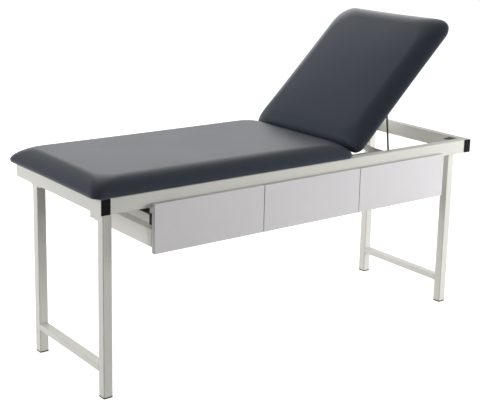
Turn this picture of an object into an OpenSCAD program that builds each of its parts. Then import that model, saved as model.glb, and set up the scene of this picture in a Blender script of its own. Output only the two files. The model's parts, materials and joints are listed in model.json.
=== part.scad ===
// Treatment couch: a steel tube frame with a fixed foot cushion, a backrest that tilts on a
// propped hinge, and three drawers hung under the frame on telescopic runners.
// Inside the modules X runs from the foot end to the head end, Y from the front to the rear and
// Z up from the floor; at_origin() then moves the couch over the middle of its outline.

/* [Frame] */
// Length of the tube frame
frame_l = 1900; // [1750:10:2100]
// Width of the tube frame
frame_w = 664; // [600:2:760]
// Height of the top face of the frame
frame_top = 784; // [700:2:900]
// Height of the rail tube
rail_h = 60; // [50:1:80]
// Width of the rail tube
rail_w = 38; // [30:1:50]
// Width and height of the cross rail tube
cross_w = 38; // [30:1:45]
// Wall of every tube
tube_wall = 2; // [1:0.1:2.5]
// Outer corner radius of every tube
tube_r = 3.5; // [3:0.1:6]
// Start of the foot cross rail along the couch
foot_cross_x = 196; // [100:2:260]
// Start of the middle cross rail along the couch
mid_cross_x = 700; // [600:2:800]

/* [Legs] */
// Side of the square leg tube
leg_w = 38; // [30:1:45]
// Distance from the long side of the frame to the leg
leg_inset = 56; // [45:1:80]
// Distance from the top of the frame to the top of the leg
leg_drop = 6; // [3:1:12]
// Height of the floor glide that shows under the leg
glide_h = 5; // [3:0.5:15]
// Thickness of the cap on the leg's top end
top_plug_h = 2; // [1:0.5:4]
// Depth of a plug inside its tube
plug_depth = 18; // [10:1:30]
// Clearance between a plug and the tube wall
plug_gap = 0.2; // [0.1:0.05:0.4]
// Thickness of the head of a rail's plug
plug_head_t = 2.5; // [1:0.5:4]
// How far the head of a rail's plug stays inside the tube's outline
plug_head_in = 0.8; // [0.2:0.1:1.5]
// Length of the seat plate on a leg, under the end rail
seat_l = 80; // [50:1:100]
// Height of the seat plate
seat_h = 23; // [15:1:30]
// Thickness of the seat plate
seat_t = 6; // [4:0.5:8]
// Height of the low stretcher
stretcher_h = 25; // [20:1:40]
// Height of the stretcher's underside above the floor
stretcher_z = 98; // [60:1:200]
// Diameter of the leg bolts
bolt_d = 8; // [6:0.5:8]
// Clearance around a leg bolt
bolt_gap = 0.3; // [0.2:0.05:0.5]
// Diameter of the bolt head
bolt_head_d = 14; // [12:0.5:16]
// Height of the bolt head
bolt_head_h = 4.5; // [3:0.1:6]
// Width of the hexagon socket in the bolt head
bolt_socket_w = 5; // [4:0.1:6]
// Depth of the hexagon socket in the bolt head
bolt_socket_h = 2.5; // [2:0.1:3]
// Reach of a leg bolt into the end rail
bolt_reach = 14; // [8:1:25]
// Distance of the upper leg bolt below the top of the frame
bolt_top = 22; // [21:1:24]
// Distance between the two bolts of a leg
bolt_pitch = 24; // [20:1:30]

/* [Cushions] */
// Thickness of a cushion with its board at the edge
cushion_edge = 67; // [50:1:85]
// Rise of the crown over the edge of the cushion
cushion_crown = 5; // [2:0.5:15]
// Overhang of the cushions past the long rails
side_overhang = 17; // [8:1:25]
// Overhang of the foot cushion past the foot end
foot_overhang = 35; // [15:1:60]
// Corner radius of the foot cushion's widest line at the foot end
foot_corner_r = 34; // [20:1:60]
// Corner radius of the backrest's widest line at its top
head_corner_r = 78; // [30:1:100]
// Corner radius of both cushions at the hinge
hinge_corner_r = 34; // [20:1:60]
// Growth of the corner radii for each millimetre further up the shoulder
corner_growth = 0.6; // [0:0.1:1]
// How far the underside of a cushion draws in
tuck_in = 15; // [8:0.5:18]
// Height over which the underside draws in
tuck_h = 13; // [13:0.5:25]
// Width of the rounded shoulder
shoulder_in = 78; // [50:1:100]
// Power of the shoulder's curve; 2 is an ellipse, and less is flatter
shoulder_power = 1.7; // [1.5:0.1:2.4]
// How far the long sides draw in between their corners
side_draw = 2.5; // [0:0.5:6]
// Thickness of the plywood boards
board_t = 12; // [9:0.5:18]
// Distance from the edge of a cushion to its board
board_inset = 24; // [20:1:40]
// How much rounder a board's corners are than its cushion's
board_round = 12; // [10:1:30]
// Clearance around a board in its cushion
board_gap = 0.3; // [0.2:0.05:1]

/* [Backrest hinge] */
// Place of the hinge axis along the couch
hinge_x = 1193; // [1150:1:1240]
// Height of the hinge axis above the frame
hinge_rise = 12; // [10:0.5:16]
// Gap between the two cushions when the backrest is flat
hinge_gap = 16; // [16:0.5:24]
// Length of the backrest cushion
back_l = 744; // [660:2:780]
// Tilt of the backrest above flat
tilt = 44; // [20:0.5:50]
// Height of the backrest's underside above the frame when flat
flat_gap = 0.5; // [0.3:0.1:2]
// Distance from each long side to the middle of its hinge
hinge_inset = 120; // [90:1:180]
// Reach of the hinge lug from its cross rail to the axis
lug_reach = 20; // [16:0.5:30]
// Thickness of a hinge lug
lug_t = 5; // [3:0.5:8]
// Depth of a hinge lug below the axis
lug_drop = 44; // [36:1:48]
// Height of the foot of a hinge lug
lug_web_h = 28; // [20:1:30]
// Radius of the hinge eye
eye_r = 7.5; // [6:0.1:7.6]
// Diameter of the hinge pin
pin_d = 8; // [5:0.5:10]
// Radial running clearance of pins and bars in their bores
run_gap = 0.05; // [0.02:0.01:0.1]
// Radial clearance of a pin that is pressed in
press_gap = 0.02; // [0.01:0.01:0.05]
// Side clearance between hinge parts
side_gap = 0.5; // [0.3:0.1:1]
// Diameter of the heads on the hinge pin
pin_head_d = 12; // [10:0.5:14]
// Thickness of the heads on the hinge pin
pin_head_h = 2; // [1:0.5:3]
// Thickness of the hinge arm
arm_t = 6; // [4:0.5:10]
// Height of the hinge arm
arm_h = 20; // [15:1:30]
// Length of the hinge arm from the axis
arm_l = 165; // [120:5:250]

/* [Prop] */
// Place of the prop's pivot along the backrest
prop_u = 284; // [240:2:330]
// Depth of the prop's pivot below the hinge line
prop_drop = 25; // [22:0.5:32]
// Height of the prop's foot below the top of the frame
notch_drop = 29; // [24:1:36]
// How far the foot of the prop stands ahead of its pivot
prop_lean = 26; // [0:1:60]
// Distance from each long side to the prop's arm
prop_inset = 55; // [52:1:70]
// Diameter of the prop's arms
prop_arm_d = 8; // [7:0.5:11]
// Diameter of the prop's pivot bar and foot pegs
prop_bar_d = 12; // [11:0.5:14]
// Thickness of the plates and flanges of the prop brackets
bracket_t = 4; // [3:0.5:6]
// Radius of the prop bracket's eye
bracket_r = 10; // [9:0.5:14]
// Length of the bracket's flange along the board
bracket_l = 56; // [40:1:80]
// Width of the bracket's flange
bracket_w = 34; // [24:1:50]
// Distance between the arm and its bracket
bracket_gap = 12; // [4:1:40]
// Thickness of the notched rack plates
rack_t = 4; // [3:0.5:6]
// Height of the rack plates
rack_h = 36; // [32:1:44]
// Distance from the top of the frame to the top of the rack plates
rack_drop = 16; // [12:1:20]
// Distance between notches
notch_pitch = 52; // [40:1:56]
// Number of notches
notch_count = 6; // [3:1:7]
// Clearance of the prop's foot in a notch
notch_gap = 0.8; // [0.4:0.1:2]
// Plate left before the first notch and after the last one
rack_lead = 30; // [20:1:40]
// Clearance between the prop's foot and the rack plates
rack_gap = 0.5; // [0.4:0.1:1]

/* [Cabinet] */
// Place of the first drawer front along the couch
cabinet_x = 207; // [180:1:260]
// Width of each of the three drawer fronts
front_w = 499; // [420:1:520]
// Height of a drawer front
front_h = 189; // [160:1:220]
// Thickness of a drawer front
front_t = 18; // [12:1:22]
// Gap between neighbouring drawer fronts
front_space = 3; // [2:0.5:6]
// Gap between the front rail and the back of the drawer fronts
front_gap = 2; // [1:0.5:4]
// How far a drawer front covers the front rail
front_lap = 17; // [5:1:30]
// Corner radius of a drawer front
front_r = 1.5; // [0.5:0.1:3]
// Thickness of the carrier sheet
sheet_t = 2; // [1:0.1:3]
// Depth of the drawer carriers
carrier_d = 450; // [400:5:500]
// Height of the lower panel of a carrier
lower_h = 78; // [70:1:90]
// Height of the set-back upper panel of a carrier
upper_h = 32; // [26:1:40]
// How far the upper panel is set back
joggle = 14; // [12:0.5:18]
// Width of the flange under a carrier
hem_w = 12; // [8:0.5:13]
// Distance from the rail's underside to the top of a carrier
carrier_drop = 37; // [30:1:45]
// Width of the closing buffer
buffer_w = 12; // [8:0.5:16]
// Height of the closing buffer
buffer_h = 42; // [24:1:44]
// Edge radius of the closing buffer
buffer_r = 4; // [2:0.5:5]
// Length of the closing buffer
buffer_l = 18; // [12:1:24]
// Clearance between a closed front and its buffer
buffer_gap = 0.4; // [0.3:0.1:1]
// Thickness of the straps and hangers
strap_t = 3; // [2:0.5:4]
// Width of a strap
strap_w = 14; // [10:1:16]
// Width of the flange that meets the rail
strap_flange = 20; // [14:1:30]
// Depth to which a strap or a hanger laps its carrier
strap_lap = 26; // [18:1:27]
// Length over which a rear hanger laps its carrier
hanger_lap = 50; // [30:1:80]
// Depth of a rear hanger at the rail
hanger_h = 22; // [15:1:30]

/* [Drawers] */
// Thickness of the drawer's sides and back
side_t = 12; // [9:0.5:16]
// Height of the drawer's sides
side_h = 85; // [60:1:86]
// Height of the drawer's sides above the bottom of the front
side_rise = 13; // [8:1:20]
// Thickness of the drawer's base
base_t = 6; // [3:0.5:9]
// Height of the base above the bottom of the sides
base_rise = 4; // [0:0.5:10]
// Step down from the sides to the drawer's back
back_step = 6; // [0:1:15]
// Space between the drawer's back and the rear panel
back_space = 2; // [1:0.5:10]
// Travel of a drawer
drawer_travel = 400; // [300:5:420]

/* [Runners] */
// Width of a runner
runner_w = 12.7; // [12:0.1:13]
// Height of a runner
runner_h = 45; // [35:1:50]
// Height of a runner above the bottom of its carrier
runner_rise = 13; // [8:1:18]
// Thickness of the runner's steel
runner_t = 1.2; // [0.8:0.1:1.6]
// Clearance between two runner members
runner_gap = 0.4; // [0.3:0.05:0.8]
// Width of the runner's flanges
runner_flange = 8.8; // [7:0.1:9]
// Distance from the ends of a carrier to the moving members
runner_end = 3; // [1:0.5:10]

/* [Hidden] */

// Overrun of every cut past the face it starts from
over = 1;
// Segments of small round stretches and of bores
round_fn = 32;
// Segments of the corner arcs of a cushion, and of a side between two corners
corner_steps = 8;
side_steps = 6;
// Rings of a cushion in its drawn-in underside, its shoulder and its crown
tuck_steps = 3;
shoulder_steps = 6;
crown_steps = 3;
// Share of a cushion's half width that its crown rises over
crown_reach_share = 0.9;
// Largest corner radius of a ring, as a share of its half width
ring_share = 0.9;

// Colours
frame_paint = [0.88, 0.88, 0.84];
black_plastic = [0.10, 0.10, 0.11];
dark_steel = [0.25, 0.25, 0.27];
bright_steel = [0.70, 0.71, 0.72];
vinyl = [0.19, 0.20, 0.24];
plywood = [0.72, 0.58, 0.40];
laminate = [0.84, 0.83, 0.85];
board_white = [0.90, 0.90, 0.89];

// Frame
rail_z = frame_top - rail_h;
cross_z = frame_top - cross_w;
long_rail_l = frame_l - 2 * rail_w;
cross_l = frame_w - 2 * rail_w;
hinge_cross_x = hinge_x - lug_reach - cross_w;
origin_x = (frame_l - foot_overhang) / 2;
origin_y = (frame_w + side_overhang - front_gap - front_t) / 2;

// Legs
leg_xs = [rail_w, frame_l - rail_w - leg_w];
leg_ys = [leg_inset, frame_w - leg_inset - leg_w];
leg_top = frame_top - leg_drop;
leg_tube_h = leg_top - top_plug_h - glide_h;
bolt_zs = [frame_top - bolt_top, frame_top - bolt_top - bolt_pitch];
stretcher_y = leg_inset + leg_w;
stretcher_l = frame_w - 2 * stretcher_y;

// Hinge
hinge_z = frame_top + hinge_rise;
back_under = hinge_rise - flat_gap;
hinge_ys = [hinge_inset, frame_w - hinge_inset];
hinge_half_w = arm_t / 2 + side_gap + lug_t;
foot_cushion_l = foot_overhang + hinge_x - hinge_gap / 2;
cushion_w = frame_w + 2 * side_overhang;

// Prop: its pivot and foot beside the couch, from the tilt of the backrest
pivot_x = hinge_x + prop_u * cos(tilt) + prop_drop * sin(tilt);
pivot_z = hinge_z + prop_u * sin(tilt) - prop_drop * cos(tilt);
prop_foot_x = pivot_x + prop_lean;
prop_foot_z = frame_top - notch_drop;
prop_l = norm([prop_foot_x - pivot_x, prop_foot_z - pivot_z]);
prop_angle = atan2(pivot_z - prop_foot_z, prop_lean);
rack_side = rail_w + rack_t;
notch_r = prop_bar_d / 2 + notch_gap;

// Cabinet
unit_pitch = front_w + front_space;
cabinet_w = 3 * front_w + 2 * front_space;
front_z = rail_z + front_lap - front_h;
carrier_top = rail_z - carrier_drop;
carrier_z = carrier_top - upper_h - lower_h;
upper_z = carrier_z + lower_h;
bend_z = lower_h - joggle;
bend_in = sheet_t * tan(22.5);
strap_x = joggle + sheet_t;
hanger_y = frame_w - rail_w + over;

// Drawers
side_x = sheet_t + runner_w;
side_z = front_z + side_rise;
box_d = carrier_d - back_space + front_gap;
inner_w = front_w - 2 * (side_x + side_t);
base_z = side_z + base_rise;
runner_z = carrier_z + runner_rise;

// Moves the couch so that the middle of its outline on the floor is the origin
module at_origin() translate([-origin_x, -origin_y, 0]) children();

// Extrusions along the couch and across it; the section's x and y become Y and Z, or X and Z
module along_x(l) rotate([90, 0, 90]) linear_extrude(l) children();
module along_y(l) translate([0, l, 0]) rotate([90, 0, 0]) linear_extrude(l) children();

module rounded_rect(w, h, r) {
    translate([r, 0]) square([w - 2 * r, h]);
    translate([0, r]) square([w, h - 2 * r]);
    for (x = [r, w - r], y = [r, h - r]) translate([x, y]) circle(r, $fn = round_fn);
}

module tube_section(w, h) difference() {
    rounded_rect(w, h, tube_r);
    translate([tube_wall, tube_wall])
        rounded_rect(w - 2 * tube_wall, h - 2 * tube_wall, tube_r - tube_wall);
}

// Section of a plug that fits inside a tube
module plug_section(w, h) translate([tube_wall + plug_gap, tube_wall + plug_gap])
    rounded_rect(w - 2 * (tube_wall + plug_gap), h - 2 * (tube_wall + plug_gap),
                 tube_r - tube_wall);

// Holes for the two bolts of every leg, from one end face to the other
module leg_bolt_holes(x, l)
    for (y = leg_ys, z = bolt_zs)
        translate([x, y + leg_w / 2, z]) rotate([0, 90, 0])
            cylinder(h = l, r = bolt_d / 2 + bolt_gap, $fn = round_fn);

// Frame

module front_rail() at_origin() color(frame_paint)
    translate([rail_w, 0, rail_z]) along_x(long_rail_l) tube_section(rail_w, rail_h);

module rear_rail() at_origin() color(frame_paint)
    translate([rail_w, frame_w - rail_w, rail_z]) along_x(long_rail_l)
        tube_section(rail_w, rail_h);

module foot_end_rail() at_origin() color(frame_paint) difference() {
    translate([0, 0, rail_z]) along_y(frame_w) tube_section(rail_w, rail_h);
    leg_bolt_holes(rail_w / 2, rail_w);
}

module head_end_rail() at_origin() color(frame_paint) difference() {
    translate([frame_l - rail_w, 0, rail_z]) along_y(frame_w) tube_section(rail_w, rail_h);
    leg_bolt_holes(frame_l - 3 * rail_w / 2, rail_w);
}

module rail_end_plugs() at_origin() color(black_plastic)
    for (x = [0, frame_l - rail_w]) {
        for (y = [0, frame_w - plug_depth])
            translate([x, y, rail_z]) along_y(plug_depth) plug_section(rail_w, rail_h);
        for (y = [-plug_head_t, frame_w])
            translate([x + plug_head_in, y, rail_z + plug_head_in]) along_y(plug_head_t)
                rounded_rect(rail_w - 2 * plug_head_in, rail_h - 2 * plug_head_in, tube_r);
    }

module cross_rail(x) at_origin() color(frame_paint)
    translate([x, rail_w, cross_z]) along_y(cross_l) tube_section(cross_w, cross_w);

module foot_cross_rail() cross_rail(foot_cross_x);
module middle_cross_rail() cross_rail(mid_cross_x);
module hinge_cross_rail() cross_rail(hinge_cross_x);

// Legs

module leg(x, y) at_origin() color(frame_paint) difference() {
    translate([x, y, glide_h]) linear_extrude(leg_tube_h) tube_section(leg_w, leg_w);
    leg_bolt_holes(x - over, leg_w + 2 * over);
}

module foot_front_leg() leg(leg_xs[0], leg_ys[0]);
module foot_rear_leg() leg(leg_xs[0], leg_ys[1]);
module head_front_leg() leg(leg_xs[1], leg_ys[0]);
module head_rear_leg() leg(leg_xs[1], leg_ys[1]);

module stretcher(x) at_origin() color(frame_paint)
    translate([x, stretcher_y, stretcher_z]) along_y(stretcher_l)
        tube_section(leg_w, stretcher_h);

// Plates on the outer faces of the legs at the foot end, on which the end rail rests
module rail_seats() at_origin() color(frame_paint)
    for (y = [leg_inset, frame_w - leg_inset - seat_l])
        translate([leg_xs[0] - seat_t, y, rail_z - seat_h]) cube([seat_t, seat_l, seat_h]);

module foot_stretcher() stretcher(leg_xs[0]);
module head_stretcher() stretcher(leg_xs[1]);

module floor_glides() at_origin() color(black_plastic)
    for (x = leg_xs, y = leg_ys) translate([x, y, 0]) {
        linear_extrude(glide_h) rounded_rect(leg_w, leg_w, tube_r);
        linear_extrude(glide_h + plug_depth) plug_section(leg_w, leg_w);
    }

module leg_top_plugs() at_origin() color(black_plastic)
    for (x = leg_xs, y = leg_ys) translate([x, y, leg_top - top_plug_h]) {
        linear_extrude(top_plug_h) rounded_rect(leg_w, leg_w, tube_r);
        translate([0, 0, -plug_depth / 2]) linear_extrude(plug_depth / 2 + over)
            plug_section(leg_w, leg_w);
    }

// One leg bolt with its head at x = 0 and its shank towards +X
module leg_bolt() rotate([0, 90, 0]) difference() {
    union() {
        cylinder(h = leg_w + bolt_reach, r = bolt_d / 2, $fn = round_fn);
        translate([0, 0, -bolt_head_h]) cylinder(h = bolt_head_h, r = bolt_head_d / 2,
                                                 $fn = round_fn);
    }
    translate([0, 0, -bolt_head_h - over])
        cylinder(h = bolt_socket_h + over, d = bolt_socket_w / cos(30), $fn = 6);
}

module leg_bolts() at_origin() color(bright_steel)
    for (y = leg_ys, z = bolt_zs) {
        translate([leg_xs[0] + leg_w, y + leg_w / 2, z]) mirror([1, 0, 0]) leg_bolt();
        translate([leg_xs[1], y + leg_w / 2, z]) leg_bolt();
    }

// Cushions

// Quarter of the outline round one corner, starting at the direction a0
function corner_points(x, y, r, a0) =
    [for (k = [0:corner_steps]) let (a = a0 + 90 * k / corner_steps)
        [x + r * cos(a), y + r * sin(a)]];

// Points of a side between two corners, drawn in along the inward direction
function side_points(p, q, inward) =
    [for (k = [1:side_steps - 1]) let (s = k / side_steps)
        p + (q - p) * s + inward * side_draw * sin(180 * s)];

// Outline of a cushion, d inside its edge, with its own corner radius at each end
function cushion_ring(l, w, r_low, r_high, d) =
    let (grown = corner_growth * min(d, shoulder_in), most = ring_share * (w / 2 - d),
         a = min(r_low + grown, most), b = min(r_high + grown, most),
         c0 = corner_points(l - d - b, d + b, b, -90),
         c1 = corner_points(l - d - b, w - d - b, b, 0),
         c2 = corner_points(d + a, w - d - a, a, 90),
         c3 = corner_points(d + a, d + a, a, 180))
    concat(c0, side_points(c0[corner_steps], c1[0], [-1, 0]),
           c1, side_points(c1[corner_steps], c2[0], [0, -1]),
           c2, side_points(c2[corner_steps], c3[0], [1, 0]),
           c3, side_points(c3[corner_steps], c0[0], [0, 1]));

// Inset and height of each ring, from the drawn-in underside over the shoulder to the crown
function cushion_levels(w) =
    let (reach = crown_reach_share * w / 2 - shoulder_in)
    concat([for (k = [0:tuck_steps]) let (a = 90 * k / tuck_steps)
               [tuck_in * (1 - sin(a)), tuck_h * (1 - cos(a))]],
           [for (k = [1:shoulder_steps]) let (a = 90 * k / shoulder_steps)
               [shoulder_in * (1 - pow(cos(a), 2 / shoulder_power)),
                tuck_h + (cushion_edge - tuck_h) * pow(sin(a), 2 / shoulder_power)]],
           [for (k = [1:crown_steps]) let (s = k / crown_steps)
               [shoulder_in + reach * s, cushion_edge + cushion_crown * (1 - pow(1 - s, 2))]]);

// Padded body with its underside at z = 0 and a pocket for its board
module cushion(l, w, r_low, r_high) {
    levels = cushion_levels(w);
    rings = [for (v = levels) [for (p = cushion_ring(l, w, r_low, r_high, v[0]))
        [p[0], p[1], v[1]]]];
    n = len(rings[0]);
    last = len(rings) - 1;
    difference() {
        polyhedron(
            points = [for (ring = rings) each ring],
            faces = concat(
                [[for (k = [0:n - 1]) k], [for (k = [n - 1:-1:0]) last * n + k]],
                [for (i = [0:last - 1], k = [0:n - 1])
                    [i * n + k, (i + 1) * n + k, (i + 1) * n + (k + 1) % n]],
                [for (i = [0:last - 1], k = [0:n - 1])
                    [i * n + k, (i + 1) * n + (k + 1) % n, i * n + (k + 1) % n]]));
        translate([0, 0, -over]) linear_extrude(board_t + over)
            board_outline(l, w, r_low, r_high, board_inset);
    }
}

// Outline of a board or of its pocket, d inside the cushion's edge
module board_outline(l, w, r_low, r_high, d) {
    a = r_low + board_round + board_inset - d;
    b = r_high + board_round + board_inset - d;
    translate([d + a, d]) square([l - 2 * d - a - b, w - 2 * d]);
    translate([d, d + a]) square([a, w - 2 * (d + a)]);
    translate([l - d - b, d + b]) square([b, w - 2 * (d + b)]);
    for (y = [d + a, w - d - a]) translate([d + a, y]) circle(a, $fn = round_fn);
    for (y = [d + b, w - d - b]) translate([l - d - b, y]) circle(b, $fn = round_fn);
}

// Board that lies in the pocket of a cushion
module board(l, w, r_low, r_high)
    linear_extrude(board_t) board_outline(l, w, r_low, r_high, board_inset + board_gap);

module foot_cushion() at_origin() color(vinyl)
    translate([-foot_overhang, -side_overhang, frame_top])
        cushion(foot_cushion_l, cushion_w, foot_corner_r, hinge_corner_r);

module foot_board() at_origin() color(plywood)
    translate([-foot_overhang, -side_overhang, frame_top])
        board(foot_cushion_l, cushion_w, foot_corner_r, hinge_corner_r);

// Backrest: its pieces are drawn flat, with the hinge axis at x = z = 0

module on_backrest() at_origin()
    translate([hinge_x, 0, hinge_z]) rotate([0, -tilt, 0]) children();

module backrest_cushion() on_backrest() color(vinyl)
    translate([hinge_gap / 2, -side_overhang, -back_under])
        cushion(back_l, cushion_w, hinge_corner_r, head_corner_r);

module backrest_board() on_backrest() color(plywood)
    translate([hinge_gap / 2, -side_overhang, -back_under])
        board(back_l, cushion_w, hinge_corner_r, head_corner_r);

// Eye, neck and bar that lies under the board
module hinge_arms() on_backrest() color(dark_steel)
    for (y = hinge_ys) translate([0, y - arm_t / 2, 0]) along_y(arm_t) difference() {
        union() {
            circle(eye_r, $fn = round_fn);
            translate([-eye_r, -back_under - arm_h]) square([2 * eye_r, back_under + arm_h]);
            translate([-eye_r, -back_under - arm_h]) square([arm_l + eye_r, arm_h]);
        }
        circle(pin_d / 2 + press_gap, $fn = round_fn);
    }

module hinge_pins() on_backrest() color(bright_steel)
    for (y = hinge_ys) translate([0, y, 0]) rotate([-90, 0, 0]) {
        translate([0, 0, -hinge_half_w - side_gap])
            cylinder(h = 2 * (hinge_half_w + side_gap), r = pin_d / 2, $fn = round_fn);
        for (side = [0, 1]) mirror([0, 0, side])
            translate([0, 0, hinge_half_w + side_gap])
                cylinder(h = pin_head_h, r = pin_head_d / 2, $fn = round_fn);
    }

module hinge_lugs() at_origin() color(frame_paint)
    for (y = hinge_ys, side = [-1, 1])
        translate([hinge_x, y + side * (hinge_half_w - lug_t / 2) - lug_t / 2, hinge_z])
            along_y(lug_t) difference() {
                union() {
                    circle(eye_r, $fn = round_fn);
                    translate([-eye_r, -lug_drop]) square([2 * eye_r, lug_drop]);
                    translate([-lug_reach, -lug_drop]) square([lug_reach + eye_r, lug_web_h]);
                }
                circle(pin_d / 2 + run_gap, $fn = round_fn);
            }

// Prop

module prop_brackets() on_backrest() color(dark_steel)
    for (side = [0, 1]) translate([0, side * frame_w, 0]) mirror([0, side, 0])
        translate([prop_u, prop_inset + bracket_gap, 0]) {
            along_y(bracket_t) difference() {
                union() {
                    translate([0, -prop_drop]) circle(bracket_r, $fn = round_fn);
                    translate([-bracket_r, -prop_drop])
                        square([2 * bracket_r, prop_drop - back_under]);
                }
                translate([0, -prop_drop]) circle(prop_bar_d / 2 + run_gap, $fn = round_fn);
            }
            translate([-bracket_l / 2, 0, -back_under - bracket_t])
                cube([bracket_l, bracket_w, bracket_t]);
        }

// The prop is drawn along +X from its pivot, and turned to stand in the first notch
module on_prop() at_origin()
    translate([pivot_x, 0, pivot_z]) rotate([0, prop_angle, 0]) children();

module prop_bar(x, y) translate([x, y, 0]) rotate([-90, 0, 0])
    cylinder(h = frame_w - 2 * y, r = prop_bar_d / 2, $fn = round_fn);

module prop_arm(y) on_prop() color(dark_steel) difference() {
    translate([0, y, 0]) rotate([0, 90, 0])
        cylinder(h = prop_l, r = prop_arm_d / 2, $fn = round_fn);
    prop_bar(0, 0);
    prop_bar(prop_l, 0);
}

module prop_front_arm() prop_arm(prop_inset);
module prop_rear_arm() prop_arm(frame_w - prop_inset);
module prop_pivot_bar() on_prop() color(dark_steel) prop_bar(0, prop_inset - prop_arm_d / 2);
// Pegs at the lower ends of the arms, which point outwards to the rack plates
module prop_foot_bar() on_prop() color(dark_steel)
    for (side = [0, 1]) translate([0, side * frame_w, 0]) mirror([0, side, 0])
        translate([prop_l, rack_side + rack_gap, 0]) rotate([-90, 0, 0])
            cylinder(h = prop_inset + prop_arm_d / 2 - rack_side - rack_gap,
                     r = prop_bar_d / 2, $fn = round_fn);

// Plate with a row of open notches for the foot of the prop
module rack_plate(y) at_origin() color(frame_paint)
    translate([prop_foot_x, y, prop_foot_z]) along_y(rack_t) difference() {
        translate([-rack_lead, notch_drop - rack_drop - rack_h])
            square([2 * rack_lead + (notch_count - 1) * notch_pitch, rack_h]);
        for (k = [0:notch_count - 1]) translate([k * notch_pitch, 0]) {
            circle(notch_r, $fn = round_fn);
            translate([-notch_r, 0]) square([2 * notch_r, notch_drop]);
        }
    }

module front_rack_plate() rack_plate(rail_w);
module rear_rack_plate() rack_plate(frame_w - rail_w - rack_t);

// Cabinet: every drawer unit is drawn from the left edge of its front

module at_unit(i) at_origin() translate([cabinet_x + i * unit_pitch, 0, 0]) children();

// A piece and its mirror image at the other side of the unit
module both_sides() {
    children();
    translate([front_w, 0, 0]) mirror([1, 0, 0]) children();
}

// Joggled sheet: hem, lower panel, slope, and a set-back upper panel with a front flange
module carriers(i) at_unit(i) color(frame_paint) both_sides() {
    translate([0, 0, carrier_z]) along_y(carrier_d) {
        square([hem_w, sheet_t]);
        polygon([[0, 0], [0, bend_z], [joggle, lower_h], [joggle + sheet_t, lower_h],
                 [joggle + sheet_t, lower_h - bend_in], [sheet_t, bend_z - bend_in], [sheet_t, 0]]);
    }
    translate([joggle, buffer_l, upper_z - bend_in])
        cube([sheet_t, carrier_d - buffer_l, upper_h + bend_in]);
    translate([sheet_t, buffer_l, upper_z]) cube([joggle, sheet_t, upper_h]);
}

module cabinet_back_panel() at_origin() color(frame_paint)
    translate([cabinet_x, carrier_d, carrier_z]) {
        cube([cabinet_w, sheet_t, lower_h]);
        cube([cabinet_w, hem_w, sheet_t]);
        translate([0, 0, lower_h - sheet_t]) cube([cabinet_w, hem_w, sheet_t]);
    }

module front_straps() color(frame_paint)
    for (i = [0:2]) at_unit(i) both_sides()
        translate([strap_x, rail_w - strap_w, carrier_top - strap_lap]) {
            cube([strap_t, strap_w, strap_lap + carrier_drop]);
            translate([0, 0, strap_lap + carrier_drop - strap_t])
                cube([strap_flange, strap_w, strap_t]);
        }

// Plate that rises from the rear end of a carrier to the underside of the rear rail
module rear_hangers() color(frame_paint)
    for (i = [0:2]) at_unit(i) both_sides() translate([strap_x, 0, 0]) {
        along_x(strap_t) polygon([
            [carrier_d - hanger_lap, carrier_top - strap_lap],
            [carrier_d, carrier_top - strap_lap],
            [frame_w - over, rail_z - hanger_h], [frame_w - over, rail_z],
            [hanger_y, rail_z], [carrier_d - hanger_lap, carrier_top]]);
        translate([0, hanger_y, rail_z - strap_t])
            cube([strap_flange, frame_w - over - hanger_y, strap_t]);
    }

module closing_buffers() color(black_plastic)
    for (i = [0:2]) at_unit(i) both_sides()
        translate([joggle - buffer_w, buffer_gap - front_gap, upper_z])
            along_y(buffer_l + front_gap - buffer_gap) rounded_rect(buffer_w, buffer_h, buffer_r);

// Runners

// Channel with its web at x = 0
module runner_section(h) {
    translate([0, -h / 2]) square([runner_t, h]);
    for (z = [-h / 2, h / 2 - runner_t]) translate([0, z]) square([runner_flange, runner_t]);
}

module runner_pair(i, x, h, turned, inset) at_unit(i) color(bright_steel) both_sides()
    translate([x, inset, runner_z + runner_h / 2]) mirror([turned, 0, 0])
        along_y(carrier_d - 2 * inset) runner_section(h);

module runner_rails(i) runner_pair(i, sheet_t, runner_h, 0, 0);
module runner_middles(i) runner_pair(i, sheet_t + runner_t + runner_gap,
    runner_h - 2 * (runner_t + runner_gap), 0, runner_end);
module drawer_slides(i) runner_pair(i, side_x,
    runner_h - 4 * (runner_t + runner_gap), 1, runner_end);

// Drawers

module drawer_front(i) at_unit(i) color(laminate)
    translate([0, -front_gap - front_t, front_z]) along_y(front_t)
        rounded_rect(front_w, front_h, front_r);

module drawer_sides(i) at_unit(i) color(board_white) both_sides()
    translate([side_x, -front_gap, side_z]) cube([side_t, box_d, side_h]);

module drawer_base(i) at_unit(i) color(board_white)
    translate([side_x + side_t, -front_gap, base_z]) cube([inner_w, box_d, base_t]);

module drawer_back(i) at_unit(i) color(board_white)
    translate([side_x + side_t, box_d - front_gap - side_t, base_z + base_t])
        cube([inner_w, side_t, side_h - base_rise - base_t - back_step]);

front_rail();
rear_rail();
foot_end_rail();
head_end_rail();
rail_end_plugs();
foot_cross_rail();
middle_cross_rail();
hinge_cross_rail();
foot_front_leg();
foot_rear_leg();
head_front_leg();
head_rear_leg();
rail_seats();
foot_stretcher();
head_stretcher();
floor_glides();
leg_top_plugs();
leg_bolts();
hinge_lugs();
front_rack_plate();
rear_rack_plate();
foot_board();
foot_cushion();
backrest_cushion();
backrest_board();
hinge_arms();
hinge_pins();
prop_brackets();
prop_front_arm();
prop_rear_arm();
prop_pivot_bar();
prop_foot_bar();
carriers(0);  // drawer_carriers_1
carriers(1);  // drawer_carriers_2
carriers(2);  // drawer_carriers_3
cabinet_back_panel();
front_straps();
rear_hangers();
closing_buffers();
runner_rails(0);  // runner_rails_1
runner_rails(1);  // runner_rails_2
runner_rails(2);  // runner_rails_3
runner_middles(0);  // runner_middles_1
runner_middles(1);  // runner_middles_2
runner_middles(2);  // runner_middles_3
drawer_front(0);  // drawer_front_1
drawer_front(1);  // drawer_front_2
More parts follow.
